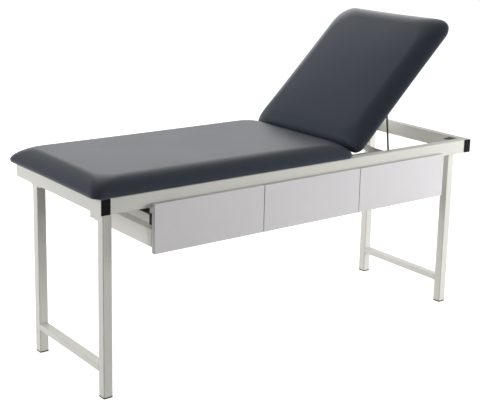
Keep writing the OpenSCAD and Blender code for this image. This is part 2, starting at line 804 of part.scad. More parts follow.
drawer_front(2);  // drawer_front_3
drawer_sides(0);  // drawer_sides_1
drawer_sides(1);  // drawer_sides_2
drawer_sides(2);  // drawer_sides_3
drawer_base(0);  // drawer_base_1
drawer_base(1);  // drawer_base_2
drawer_base(2);  // drawer_base_3
drawer_back(0);  // drawer_back_1
drawer_back(1);  // drawer_back_2
drawer_back(2);  // drawer_back_3
drawer_slides(0);  // drawer_slides_1
drawer_slides(1);  // drawer_slides_2
drawer_slides(2);  // drawer_slides_3
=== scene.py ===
import json
import math

import bpy
import numpy as np
from mathutils import Matrix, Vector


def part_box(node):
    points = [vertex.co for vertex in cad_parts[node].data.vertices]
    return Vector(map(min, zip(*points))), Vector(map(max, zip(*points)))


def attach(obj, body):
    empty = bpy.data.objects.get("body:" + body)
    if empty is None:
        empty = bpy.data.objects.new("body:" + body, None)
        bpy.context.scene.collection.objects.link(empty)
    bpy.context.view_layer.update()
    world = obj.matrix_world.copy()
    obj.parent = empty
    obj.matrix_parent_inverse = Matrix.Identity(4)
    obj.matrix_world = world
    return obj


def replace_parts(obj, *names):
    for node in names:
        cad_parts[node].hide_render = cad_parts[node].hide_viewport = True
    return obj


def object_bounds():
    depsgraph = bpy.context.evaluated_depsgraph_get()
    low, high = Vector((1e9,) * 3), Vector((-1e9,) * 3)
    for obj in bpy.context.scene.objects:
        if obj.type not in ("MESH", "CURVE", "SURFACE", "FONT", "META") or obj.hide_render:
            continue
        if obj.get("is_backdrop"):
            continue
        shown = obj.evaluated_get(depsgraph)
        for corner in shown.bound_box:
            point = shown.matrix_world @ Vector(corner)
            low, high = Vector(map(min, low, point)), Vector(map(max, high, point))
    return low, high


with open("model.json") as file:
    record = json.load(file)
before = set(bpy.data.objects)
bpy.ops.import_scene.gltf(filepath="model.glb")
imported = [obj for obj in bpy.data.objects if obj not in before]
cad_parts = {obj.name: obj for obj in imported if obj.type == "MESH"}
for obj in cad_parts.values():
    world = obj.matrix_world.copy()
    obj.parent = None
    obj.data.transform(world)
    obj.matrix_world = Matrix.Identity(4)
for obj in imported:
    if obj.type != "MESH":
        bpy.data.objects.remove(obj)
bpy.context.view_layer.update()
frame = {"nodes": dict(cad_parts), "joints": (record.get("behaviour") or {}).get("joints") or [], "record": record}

# The photograph's frame in pixels, and the camera that was solved from it in metres and degrees
IMAGE_W, IMAGE_H = 480, 410
FOCAL_PX = 1085.3
AXIS_PX = (263.5, 150.9)
SENSOR_MM = 36.0
CAMERA_AT = (-2.7355, -3.5265, 1.811)
CAMERA_AZIMUTH, CAMERA_DOWN, CAMERA_ROLL = 38.20, 13.00, -1.52

# Form of both cushions, as the solids have it, and how many rings the covers have
TUCK_IN, TUCK_H = 0.015, 0.013
SHOULDER_IN, EDGE_H, SHOULDER_POWER = 0.078, 0.0665, 1.7
CROWN, CROWN_REACH = 0.005, 0.9
SIDE_DRAW = 0.0025
FOOT_CORNER, HEAD_CORNER, HINGE_CORNER = 0.034, 0.078, 0.034
CORNER_GROWTH, RING_SHARE = 0.6, 0.9
BACK_CUSHION_L = 0.744
HALF_GAP = 0.008
BOARD_INSET, BOARD_ROUND = 0.024, 0.012
TUCK_RINGS, SHOULDER_RINGS, CROWN_RINGS = 6, 18, 8

# How the covers swell, and their gathers at the lower corners
VOXEL = 0.006
SWELL_ROOM, SWELL_IN, SWELL_OUT = 0.0005, 0.0004, 0.0012
HELD_H = 0.4 * TUCK_H
CLOTH_FRAMES, SMOOTHING = 20, 120
GATHER_DEPTH, GATHER_TOP, GATHER_FADE = 0.0009, 1.15 * TUCK_H, 0.004
GATHER_FOLDS, DRIFT_RATE, DRIFT = 34, 9, 1.5
GATHER_START = 0.6

# Linings under the boards, and their staples
LINING_INSET, LINING_T = 0.020, 0.0012
LINING_LOW, LINING_ROUND, LINING_RISE = 0.0003, 0.0005, 0.0006
STAPLE_PITCH, STAPLE_INSET, STAPLE_LEAN = 0.034, 0.007, 0.24
STAPLE_HALF, STAPLE_WIRE, STAPLE_DIP, STAPLE_RISE = 0.005, 0.00055, 0.0009, 0.0002

# Drawer fronts: face sheet, edge band that ends behind it, and the joint line between them
DRAWERS = (1, 2, 3)
FRONT_CORNER, FRONT_RIM = 0.0015, 0.0030
EASE, EASE_FULL = 0.0002, 0.0008
FACE_T, BAND_END = 0.0010, 0.0022
JOINT_IN, JOINT_BACK, JOINT_FRONT = 0.0007, 0.0024, 0.0009

# Radius and height of the fasteners' heads
FLANGE_SCREW = (0.0042, 0.0024)
PANEL_SCREW = (0.0040, 0.0022)
ARM_SCREW = (0.0036, 0.0020)
DRAWER_SCREW = (0.0034, 0.0018)
STRAP_RIVET = (0.0032, 0.0012)
RUNNER_RIVET = (0.0030, 0.0010)

# Weld beads: sizes, ripples, how far they stop short of an edge, and their places at the racks
TUBE_BEAD, CORNER_BEAD, PLATE_BEAD, SEAT_BEAD = 0.0032, 0.0034, 0.0028, 0.0026
BEAD_STEP, RIPPLE_PITCH, RIPPLE = 0.0009, 0.0028, 0.16
SIDE_SHORT, TOP_SHORT, LOW_SHORT = 0.002, 0.003, 0.001
PLATE_SHORT, LUG_W, LUG_TOP_SHORT = 0.0015, 0.017, 0.0055
RACK_BEAD_X, RACK_BEAD_L = (0.500, 0.625, 0.750), 0.026

# Cabinet: the three units' places along X from their carriers, and the fixings of one unit
unit_low, unit_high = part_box("drawer_carriers_1")
UNIT_W = unit_high.x - unit_low.x
UNIT_STARTS = np.array([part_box(f"drawer_carriers_{i}")[0].x for i in DRAWERS])
JOGGLE, SHEET_T, STRAP_T, BOARD_T = 0.014, 0.002, 0.003, 0.012
FLANGE_IN, PANEL_SCREW_IN, PANEL_SCREW_Z = 0.028, 0.020, (0.592, 0.640)
STRAP_RIVET_Y, STRAP_RIVET_Z = (-0.2995, 0.0945), (0.667, 0.679)
RUNNER_RIVET_Y = (-0.285, -0.125, 0.065)
CAP_BACK, CAP_Z, DRAWER_SCREW_Z = 0.034, (0.590, 0.630), 0.6405

# The hinge line of the backrest, and its tilt at rest
TILT = next(j for j in frame["joints"] if j["name"] == "backrest_tilt")
HINGE = np.array(TILT["pos_m"])
TILT_ANGLE = math.radians(-TILT["range_deg"][0])

# Backrest fixings, along the flat backrest from its hinge line
MIDDLE_Y = HINGE[1]
BOARD_LOW = -0.0115
ARM_Y = 0.2120
PLATE_U, PLATE_L, PLATE_W, PLATE_T = 0.036, 0.120, 0.034, 0.0025
PLATE_ROUND, PLATE_EASE, PLATE_SUNK = 0.006, 0.0006, 0.0001
PLATE_SCREW_U, PLATE_SCREW_V = (0.050, 0.096, 0.142), 0.0105
BRACKET_U, BRACKET_Y, BRACKET_LOW = 0.284, 0.2480, -0.0155
BRACKET_SCREW_U, BRACKET_INNER = 0.019, -0.2586

# Prop: its pivot and foot in the XZ plane, the sleeve near the foot and the clip at the pivot
PROP_TURN = next(j for j in frame["joints"] if j["name"] == "prop_turn")["pos_m"]
PROP_FOOT = np.array([0.5082, 0, 0.7550])
SLEEVE_R, SLEEVE_EASE, SLEEVE_FROM, SLEEVE_TO = 0.0049, 0.0005, -0.020, -0.0060
CLIP_INNER_R, CLIP_OUTER_R, CLIP_HALF = 0.0062, 0.0084, 0.0006


# Shapes worked out as arrays

def arc(cx, cy, r, start, count):
    """Quarter circle round (cx, cy) from the start angle: centre plus r times cosine and sine."""
    a = np.radians(start) + np.linspace(0, np.pi / 2, count)
    return np.stack([cx + r * np.cos(a), cy + r * np.sin(a)], 1)


def side(p, q, inward, draw, count):
    """Line from p to q, bowed inwards by draw times the sine of its share, without its ends."""
    s = np.linspace(0, 1, count + 1)[1:-1, None]
    return p + (q - p) * s + np.array(inward) * draw * np.sin(np.pi * s)


def outline(length, width, r_low, r_high, inset=0.0, draw=0.0, arc_n=13, side_n=24):
    """Rounded rectangle, inset from its edge, with one corner radius at each end."""
    a, b = r_low, r_high
    x0, y0, x1, y1 = inset, inset, length - inset, width - inset
    corners = [arc(x1 - b, y0 + b, b, -90, arc_n), arc(x1 - b, y1 - b, b, 0, arc_n),
               arc(x0 + a, y1 - a, a, 90, arc_n), arc(x0 + a, y0 + a, a, 180, arc_n)]
    inward = [(-1, 0), (0, -1), (1, 0), (0, 1)]
    parts = []
    for k, corner in enumerate(corners):
        following = corners[(k + 1) % 4]
        parts += [corner, side(corner[-1], following[0], inward[k], draw, side_n)]
    return np.concatenate(parts)


def cushion_outline(length, width, r_low, r_high, inset):
    """Outline of a cushion: its corner radii grow with the inset up the shoulder, to a share."""
    grown, most = CORNER_GROWTH * min(inset, SHOULDER_IN), RING_SHARE * (width / 2 - inset)
    return outline(length, width, min(r_low + grown, most), min(r_high + grown, most),
                   inset, SIDE_DRAW, 17, 32)


def board_shape(length, width, r_low, r_high, inset):
    """Outline of a board that is rounder than its cushion, and keeps its distance all round."""
    grown = BOARD_ROUND + BOARD_INSET - inset
    return outline(length, width, r_low + grown, r_high + grown, inset)


def loft(rings):
    """Skin through rings of equal count: quads between neighbours, and a fan to the middle of
    the first ring and of the last. A shell is its points, its quads and its triangles."""
    rings = np.asarray(rings, float)
    rows, cols = rings.shape[:2]
    verts = np.concatenate([rings.reshape(-1, 3), rings[[0, -1]].mean(1)])
    k = np.arange(cols)
    following = (k + 1) % cols
    i = np.arange(rows - 1)[:, None] * cols
    quads = np.stack([i + k, i + following, i + cols + following, i + cols + k], -1)
    last, middle = (rows - 1) * cols, np.full(cols, rows * cols)
    first_fan = np.stack([following, k, middle], 1)
    last_fan = np.stack([last + k, last + following, middle + 1], 1)
    return verts, quads.reshape(-1, 4), np.concatenate([first_fan, last_fan])


def slab(shape, levels):
    """Closed slab: shape(inset) gives the outline, levels the inset and height of each ring."""
    return loft([np.column_stack([shape(d), np.full(len(shape(d)), z)]) for d, z in levels])


def lathe(profile, count=20):
    """Shell of a profile, radius and height of each ring, carried round the Z axis."""
    a = np.arange(count) * 2 * np.pi / count
    circle = np.stack([np.cos(a), np.sin(a), 0 * a], 1)
    return loft([circle * r + [0, 0, z] for r, z in profile])


def join(shells):
    """Several shells as one: points in a row, and faces counted on from their first point."""
    starts = np.cumsum([0] + [len(shell[0]) for shell in shells[:-1]])
    return tuple(np.concatenate([shell[part] + (starts[n] if part else 0)
                                 for n, shell in enumerate(shells)]) for part in range(3))


def axes_on(normal):
    """Rows of a right-handed frame with Z on the normal, and X near the world's Y, or near its Z
    where the normal is close to Y."""
    z = np.array(normal, float) / np.linalg.norm(normal)
    x = np.array([0, 1, 0] if abs(z[1]) < 0.9 else [0, 0, 1], float)
    x -= z * x.dot(z)
    x /= np.linalg.norm(x)
    return np.array([x, np.cross(z, x), z])


def repeat(shell, frames, places):
    """Copies of a shell: its points times each frame plus each place, and its faces in step."""
    verts, quads, tris = shell
    places = np.asarray(places, float)
    frames = np.broadcast_to(frames, (len(places), 3, 3))
    many = np.einsum("vi,nij->nvj", verts, frames) + places[:, None]
    step = (np.arange(len(places)) * len(verts))[:, None, None]
    return many.reshape(-1, 3), (quads + step).reshape(-1, 4), (tris + step).reshape(-1, 3)


def placed(shell, place):
    """Shell with its points moved by a function."""
    return place(shell[0]), shell[1], shell[2]


def on_backrest(verts):
    """Points given along the flat backrest from its hinge line, turned up to the rest pose."""
    c, s = math.cos(TILT_ANGLE), math.sin(TILT_ANGLE)
    turn = np.array([[c, 0, s], [0, 1, 0], [-s, 0, c]])
    return verts @ turn + np.array([HINGE[0], 0, HINGE[2]])


def piece(name, shell, body, material, crease=35):
    """A named object at the origin with its place in its mesh, riding on a body."""
    verts, quads, tris = shell
    mesh = bpy.data.meshes.new(name)
    mesh.from_pydata(np.asarray(verts, float).tolist(), [], quads.tolist() + tris.tolist())
    mesh.polygons.foreach_set("use_smooth", np.ones(len(mesh.polygons), bool))
    mesh.set_sharp_from_angle(angle=math.radians(crease))
    mesh.materials.append(material)
    obj = bpy.data.objects.new(name, mesh)
    bpy.context.scene.collection.objects.link(obj)
    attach(obj, body)
    return obj


# Shader node groups

def new_group(name, inputs, outputs):
    """Empty shader node group with named inputs and outputs, and its two end nodes."""
    tree = bpy.data.node_groups.new(name, "ShaderNodeTree")
    for label, kind, value in inputs:
        socket = tree.interface.new_socket(label, in_out="INPUT", socket_type=kind)
        if value is not None:
            socket.default_value = value
    for label, kind in outputs:
        tree.interface.new_socket(label, in_out="OUTPUT", socket_type=kind)
    return tree, tree.nodes.new("NodeGroupInput"), tree.nodes.new("NodeGroupOutput")


def feed(tree, socket, value):
    """Gives an input a number or an RGB colour, or links an output to it."""
    if isinstance(value, tuple):
        socket.default_value = (*value, 1.0)
    elif isinstance(value, (int, float)):
        socket.default_value = value
    else:
        tree.links.new(value, socket)


def math_node(tree, operation, a, b=None, clamp=False):
    """Math node; a and b are sockets or numbers. Returns its output."""
    node = tree.nodes.new("ShaderNodeMath")
    node.operation = operation
    node.use_clamp = clamp
    feed(tree, node.inputs[0], a)
    if b is not None:
        feed(tree, node.inputs[1], b)
    return node.outputs[0]


def noise(tree, vector, scale, detail=2.0, rough=0.5):
    """Noise texture on a vector; scale is a socket or a number per metre. Returns its value."""
    node = tree.nodes.new("ShaderNodeTexNoise")
    node.inputs["Detail"].default_value = detail
    node.inputs["Roughness"].default_value = rough
    tree.links.new(vector, node.inputs["Vector"])
    feed(tree, node.inputs["Scale"], scale)
    return node.outputs["Fac"]


def make_speckle():
    """Fine bumps with slow waves under them, as on moulded plastic and powder coat."""
    tree, start, end = new_group(
        "Speckle",
        [("Vector", "NodeSocketVector", None), ("Grain per metre", "NodeSocketFloat", 900.0),
         ("Wave per metre", "NodeSocketFloat", 60.0), ("Wave share", "NodeSocketFloat", 0.3)],
        [("Height", "NodeSocketFloat"), ("Wave", "NodeSocketFloat")])
    vector = start.outputs["Vector"]
    grain = noise(tree, vector, start.outputs["Grain per metre"], 3.0, 0.6)
    wave = noise(tree, vector, start.outputs["Wave per metre"], 2.0, 0.5)
    share = math_node(tree, "MULTIPLY", wave, start.outputs["Wave share"])
    tree.links.new(math_node(tree, "ADD", grain, share), end.inputs["Height"])
    tree.links.new(wave, end.inputs["Wave"])
    return tree


def make_leather_grain():
    """Rounded cells with creases between them over slow stretch marks, as on embossed vinyl."""
    tree, start, end = new_group(
        "Leather grain",
        [("Vector", "NodeSocketVector", None), ("Cells per metre", "NodeSocketFloat", 620.0)],
        [("Height", "NodeSocketFloat"), ("Crease", "NodeSocketFloat"), ("Wave", "NodeSocketFloat")])
    vector = start.outputs["Vector"]
    warp = tree.nodes.new("ShaderNodeTexNoise")
    warp.inputs["Scale"].default_value = 260.0
    tree.links.new(vector, warp.inputs["Vector"])
    mix = tree.nodes.new("ShaderNodeVectorMath")
    mix.operation = "MULTIPLY_ADD"
    mix.inputs[1].default_value = (0.0016, 0.0016, 0.0016)
    tree.links.new(warp.outputs["Color"], mix.inputs[0])
    tree.links.new(vector, mix.inputs[2])
    cells = tree.nodes.new("ShaderNodeTexVoronoi")
    cells.feature = "DISTANCE_TO_EDGE"
    tree.links.new(mix.outputs[0], cells.inputs["Vector"])
    tree.links.new(start.outputs["Cells per metre"], cells.inputs["Scale"])
    crease = math_node(tree, "MULTIPLY", cells.outputs["Distance"], 4.0, clamp=True)
    pores = noise(tree, vector, 2600.0, 2.0, 0.6)
    height = math_node(tree, "ADD", crease, math_node(tree, "MULTIPLY", pores, 0.35))
    tree.links.new(height, end.inputs["Height"])
    tree.links.new(crease, end.inputs["Crease"])
    tree.links.new(noise(tree, vector, 5.0, 3.0, 0.5), end.inputs["Wave"])
    return tree


def make_dust():
    """Mask of settled dust: the upward part of the normal, times noise, times an amount."""
    tree, start, end = new_group(
        "Dust",
        [("Vector", "NodeSocketVector", None), ("Normal", "NodeSocketVector", None),
         ("Amount", "NodeSocketFloat", 0.2)],
        [("Mask", "NodeSocketFloat")])
    split = tree.nodes.new("ShaderNodeSeparateXYZ")
    tree.links.new(start.outputs["Normal"], split.inputs[0])
    up = math_node(tree, "MAXIMUM", split.outputs["Z"], 0.0)
    broken = noise(tree, start.outputs["Vector"], 14.0, 4.0, 0.6)
    mask = math_node(tree, "MULTIPLY", math_node(tree, "MULTIPLY", up, broken),
                     start.outputs["Amount"], clamp=True)
    tree.links.new(mask, end.inputs["Mask"])
    return tree


def make_scuffs():
    """Sparse thin scratches: two stretched noises, each cut to its narrow middle band."""
    tree, start, end = new_group(
        "Scuffs",
        [("Vector", "NodeSocketVector", None), ("Amount", "NodeSocketFloat", 0.5)],
        [("Mask", "NodeSocketFloat")])
    lines = []
    for turn, scale in ((0.5, (30.0, 30.0, 420.0)), (-0.8, (420.0, 30.0, 30.0))):
        mapping = tree.nodes.new("ShaderNodeMapping")
        mapping.inputs["Rotation"].default_value = (turn, turn * 0.7, turn * 0.3)
        mapping.inputs["Scale"].default_value = scale
        tree.links.new(start.outputs["Vector"], mapping.inputs["Vector"])
        value = noise(tree, mapping.outputs[0], 1.0, 2.0, 0.5)
        away = math_node(tree, "ABSOLUTE", math_node(tree, "SUBTRACT", value, 0.5))
        lines.append(math_node(tree, "LESS_THAN", away, 0.0035))
    patches = math_node(tree, "GREATER_THAN", noise(tree, start.outputs["Vector"], 9.0), 0.56)
    both = math_node(tree, "MAXIMUM", *lines)
    mask = math_node(tree, "MULTIPLY", math_node(tree, "MULTIPLY", both, patches),
                     start.outputs["Amount"])
    tree.links.new(mask, end.inputs["Mask"])
    return tree


SPECKLE, LEATHER, DUST, SCUFFS = make_speckle(), make_leather_grain(), make_dust(), make_scuffs()


# Materials

# Places of the colour sockets on a Mix node
MIX_A, MIX_B, MIX_RESULT = 6, 7, 2


class Finish:
    """A material with a Principled shader and helpers that link its pattern to it."""

    def __init__(self, name, roughness, metallic=0.0, **sockets):
        """New material; sockets are inputs of the shader, with underscores for spaces."""
        self.material = bpy.data.materials.new(name)
        self.material.use_nodes = True
        self.tree = self.material.node_tree
        self.shader = self.tree.nodes["Principled BSDF"]
        self.shader.inputs["Roughness"].default_value = roughness
        self.shader.inputs["Metallic"].default_value = metallic
        for label, value in sockets.items():
            self.shader.inputs[label.replace("_", " ")].default_value = value
        coordinates = self.tree.nodes.new("ShaderNodeTexCoord")
        self.place = coordinates.outputs["Object"]
        self.normal = coordinates.outputs["Normal"]

    def group(self, tree, **values):
        """Node of a group with its Vector linked and its values set."""
        node = self.tree.nodes.new("ShaderNodeGroup")
        node.node_tree = tree
        self.tree.links.new(self.place, node.inputs["Vector"])
        if "Normal" in node.inputs:
            self.tree.links.new(self.normal, node.inputs["Normal"])
        for label, value in values.items():
            node.inputs[label.replace("_", " ")].default_value = value
        return node

    def blend(self, factor, a, b):
        """Colour between a and b by a factor; a and b are colours or sockets."""
        node = self.tree.nodes.new("ShaderNodeMix")
        node.data_type = "RGBA"
        self.tree.links.new(factor, node.inputs["Factor"])
        feed(self.tree, node.inputs[MIX_A], a)
        feed(self.tree, node.inputs[MIX_B], b)
        return node.outputs[MIX_RESULT]

    def range(self, value, low, high):
        """Value from 0..1 mapped to low..high."""
        node = self.tree.nodes.new("ShaderNodeMapRange")
        self.tree.links.new(value, node.inputs["Value"])
        node.inputs["To Min"].default_value = low
        node.inputs["To Max"].default_value = high
        return node.outputs[0]

    def bump(self, height, distance, strength=1.0, under=None):
        """Bump of a height in metres; under is the output of another bump."""
        node = self.tree.nodes.new("ShaderNodeBump")
        node.inputs["Strength"].default_value = strength
        node.inputs["Distance"].default_value = distance
        self.tree.links.new(height, node.inputs["Height"])
        if under is not None:
            self.tree.links.new(under, node.inputs["Normal"])
        return node.outputs[0]

    def link(self, output, label):
        """Links an output to an input of the shader."""
        self.tree.links.new(output, self.shader.inputs[label])


def powder_coat():
    """Off-white powder coat: orange peel, a little dust, rare scuffs."""
    f = Finish("Cream powder coat", 0.42, Specular_IOR_Level=0.5)
    peel = f.group(SPECKLE, Grain_per_metre=1100.0, Wave_per_metre=160.0, Wave_share=1.2)
    tone = f.blend(peel.outputs["Wave"], (0.700, 0.695, 0.640), (0.745, 0.740, 0.690))
    dust = f.group(DUST, Amount=0.10)
    tone = f.blend(dust.outputs["Mask"], tone, (0.55, 0.53, 0.48))
    scuff = f.group(SCUFFS, Amount=0.25)
    f.link(f.blend(scuff.outputs["Mask"], tone, (0.50, 0.49, 0.46)), "Base Color")
    f.link(f.range(peel.outputs["Wave"], 0.34, 0.50), "Roughness")
    f.link(f.bump(peel.outputs["Height"], 0.00006), "Normal")
    return f.material


def vinyl():
    """Blue-black upholstery vinyl: shallow leather grain with painted shade in its creases, and slow changes of
    its polish.
    """
    f = Finish("Midnight vinyl", 0.30, IOR=1.22, Specular_Tint=(0.86, 0.94, 1.0, 1.0))
    grain = f.group(LEATHER, Cells_per_metre=640.0)
    # Painted shade: the grain's creases are coloured darker than the cells between them.
    tone = f.blend(grain.outputs["Crease"], (0.035, 0.041, 0.054), (0.043, 0.050, 0.066))
    worn = f.range(grain.outputs["Wave"], 0.0, 0.35)
    f.link(f.blend(worn, tone, (0.047, 0.054, 0.071)), "Base Color")
    f.link(f.range(grain.outputs["Wave"], 0.27, 0.34), "Roughness")
    f.link(f.bump(grain.outputs["Height"], 0.00006, 0.35), "Normal")
    return f.material


def laminate(name, pale, deep, roughness):
    """Melamine face: a very fine pearl texture and a faint cloud of tone."""
    f = Finish(name, roughness, Specular_IOR_Level=0.5)
    pearl = f.group(SPECKLE, Grain_per_metre=2200.0, Wave_per_metre=7.0, Wave_share=0.2)
    scuff = f.group(SCUFFS, Amount=0.12)
    tone = f.blend(pearl.outputs["Wave"], deep, pale)
    f.link(f.blend(scuff.outputs["Mask"], tone, (0.50, 0.49, 0.50)), "Base Color")
    f.link(f.range(pearl.outputs["Wave"], roughness - 0.05, roughness + 0.05), "Roughness")
    f.link(f.bump(pearl.outputs["Height"], 0.00003), "Normal")
    return f.material


def moulded(name, pale, deep, roughness, ior=1.45):
    """Moulded plastic or rubber with a fine spark texture."""
    f = Finish(name, roughness, IOR=ior)
    grain = f.group(SPECKLE, Grain_per_metre=1500.0, Wave_per_metre=40.0, Wave_share=0.4)
    dust = f.group(DUST, Amount=0.10)
    tone = f.blend(grain.outputs["Wave"], deep, pale)
    f.link(f.blend(dust.outputs["Mask"], tone, (0.16, 0.155, 0.145)), "Base Color")
    f.link(f.range(grain.outputs["Wave"], roughness - 0.08, roughness + 0.08), "Roughness")
    f.link(f.bump(grain.outputs["Height"], 0.00005), "Normal")
    return f.material


def plated(name, pale, deep, roughness):
    """Zinc plated steel: bright metal with drawn streaks and clouded roughness."""
    f = Finish(name, roughness, metallic=1.0)
    cloud = f.group(SPECKLE, Grain_per_metre=500.0, Wave_per_metre=45.0, Wave_share=1.0)
    scuff = f.group(SCUFFS, Amount=0.8)
    tone = f.blend(cloud.outputs["Wave"], deep, pale)
    f.link(f.blend(scuff.outputs["Mask"], tone, (0.30, 0.30, 0.30)), "Base Color")
    f.link(f.range(cloud.outputs["Height"], roughness - 0.08, roughness + 0.14), "Roughness")
    f.link(f.bump(cloud.outputs["Height"], 0.00003), "Normal")
    return f.material


def plywood():
    """Birch plywood: long grain along X, fine pores."""
    f = Finish("Birch plywood", 0.6)
    mapping = f.tree.nodes.new("ShaderNodeMapping")
    mapping.inputs["Scale"].default_value = (3.0, 60.0, 60.0)
    f.tree.links.new(f.place, mapping.inputs["Vector"])
    bands = noise(f.tree, mapping.outputs[0], 1.0, 4.0, 0.6)
    pores = noise(f.tree, mapping.outputs[0], 9.0, 2.0, 0.5)
    tone = f.blend(bands, (0.52, 0.36, 0.21), (0.68, 0.52, 0.34))
    f.link(tone, "Base Color")
    f.link(f.range(bands, 0.5, 0.7), "Roughness")
    f.link(f.bump(pores, 0.0002), "Normal")
    return f.material


def spunbond():
    """Black spunbond lining: tiny square bond points over tangled fibre."""
    f = Finish("Black spunbond lining", 0.9, Sheen_Weight=0.2)
    mapping = f.tree.nodes.new("ShaderNodeMapping")
    mapping.inputs["Scale"].default_value = (600.0, 600.0, 600.0)
    f.tree.links.new(f.place, mapping.inputs["Vector"])
    points = f.tree.nodes.new("ShaderNodeTexVoronoi")
    points.feature = "F1"
    points.distance = "CHEBYCHEV"
    points.inputs["Randomness"].default_value = 0.15
    points.inputs["Scale"].default_value = 1.0
    f.tree.links.new(mapping.outputs[0], points.inputs["Vector"])
    dents = math_node(f.tree, "LESS_THAN", points.outputs["Distance"], 0.28)
    fibre = f.group(SPECKLE, Grain_per_metre=3000.0, Wave_per_metre=200.0, Wave_share=0.6)
    tone = f.blend(dents, (0.030, 0.030, 0.032), (0.014, 0.014, 0.015))
    f.link(tone, "Base Color")
    under = f.bump(fibre.outputs["Height"], 0.00012)
    f.link(f.bump(dents, 0.0001, -0.6, under), "Normal")
    return f.material


POWDER = powder_coat()
VINYL = vinyl()
FRONT = laminate("Pale lilac laminate", (0.750, 0.733, 0.745), (0.710, 0.694, 0.706), 0.38)
EDGE_BAND = laminate("Pale edge band", (0.72, 0.72, 0.73), (0.68, 0.68, 0.69), 0.34)
WHITE_BOARD = laminate("White melamine board", (0.74, 0.74, 0.72), (0.70, 0.70, 0.68), 0.45)
BLACK = moulded("Black moulded plastic", (0.010, 0.010, 0.012), (0.006, 0.006, 0.007), 0.42, 1.15)
RUBBER = moulded("Black rubber", (0.012, 0.012, 0.013), (0.007, 0.007, 0.008), 0.62, 1.22)
JOINT = moulded("Dark joint line", (0.055, 0.054, 0.056), (0.035, 0.034, 0.036), 0.70)
CAP = moulded("Pale plastic cap", (0.70, 0.70, 0.69), (0.62, 0.62, 0.61), 0.45)
SLEEVE = moulded("Nylon sleeve", (0.62, 0.62, 0.60), (0.52, 0.52, 0.50), 0.50)
DARK_STEEL = moulded("Charcoal powder coat",
                     (0.034, 0.035, 0.039), (0.022, 0.023, 0.026), 0.40, 1.35)
ZINC = plated("Zinc plated steel", (0.66, 0.67, 0.68), (0.54, 0.55, 0.57), 0.30)
WIRE = plated("Bright staple wire", (0.72, 0.72, 0.72), (0.60, 0.60, 0.60), 0.25)
PLY = plywood()
LINING = spunbond()

# Finish of every solid that stays in view, by its slot in the record
SLOT_FINISH = {"frame_paint": POWDER, "black_plastic": BLACK, "bright_steel": ZINC,
               "dark_steel": DARK_STEEL, "vinyl": VINYL, "plywood": PLY, "laminate": FRONT,
               "white_board": WHITE_BOARD}
for row in frame["record"]["subparts"]:
    solid = frame["nodes"][row["node"]]
    solid.data.materials.clear()
    solid.data.materials.append(SLOT_FINISH[row["material_slot"]])
frame["nodes"]["closing_buffers"].data.materials[0] = RUBBER


# Upholstery

def cushion_levels(width):
    """Inset and height of each ring: quarter ellipse of the tuck, a flatter curve of the
    shoulder whose powers are over an ellipse's, then the slow rise of the crown."""
    a = np.linspace(0, np.pi / 2, TUCK_RINGS)
    tuck = np.column_stack([TUCK_IN * (1 - np.sin(a)), TUCK_H * (1 - np.cos(a))])
    tuck[:, 1] = np.maximum(tuck[:, 1], LINING_T)
    a = np.linspace(0, np.pi / 2, SHOULDER_RINGS + 1)[1:]
    power = 2 / SHOULDER_POWER
    shoulder = np.column_stack([
        SHOULDER_IN * (1 - np.clip(np.cos(a), 0, 1) ** power),
        TUCK_H + (EDGE_H - TUCK_H) * np.sin(a) ** power])
    s = np.linspace(0, 1, CROWN_RINGS + 1)[1:]
    crown = np.column_stack([SHOULDER_IN + (CROWN_REACH * width / 2 - SHOULDER_IN) * s,
                             EDGE_H + CROWN * (1 - (1 - s) ** 2)])
    return np.concatenate([[[TUCK_IN + BOARD_INSET, LINING_T]], tuck, shoulder, crown])


def smoothed(mesh, field, rounds):
    """Field on the points of a mesh, each time averaged with the mean over its neighbours."""
    ends = np.empty(len(mesh.edges) * 2, np.int32)
    mesh.edges.foreach_get("vertices", ends)
    a, b = ends.reshape(-1, 2).T
    count = len(field)
    neighbours = np.bincount(a, minlength=count) + np.bincount(b, minlength=count)
    for _ in range(rounds):
        total = np.bincount(a, field[b], count) + np.bincount(b, field[a], count)
        field = (field + total / neighbours) / 2
    return field


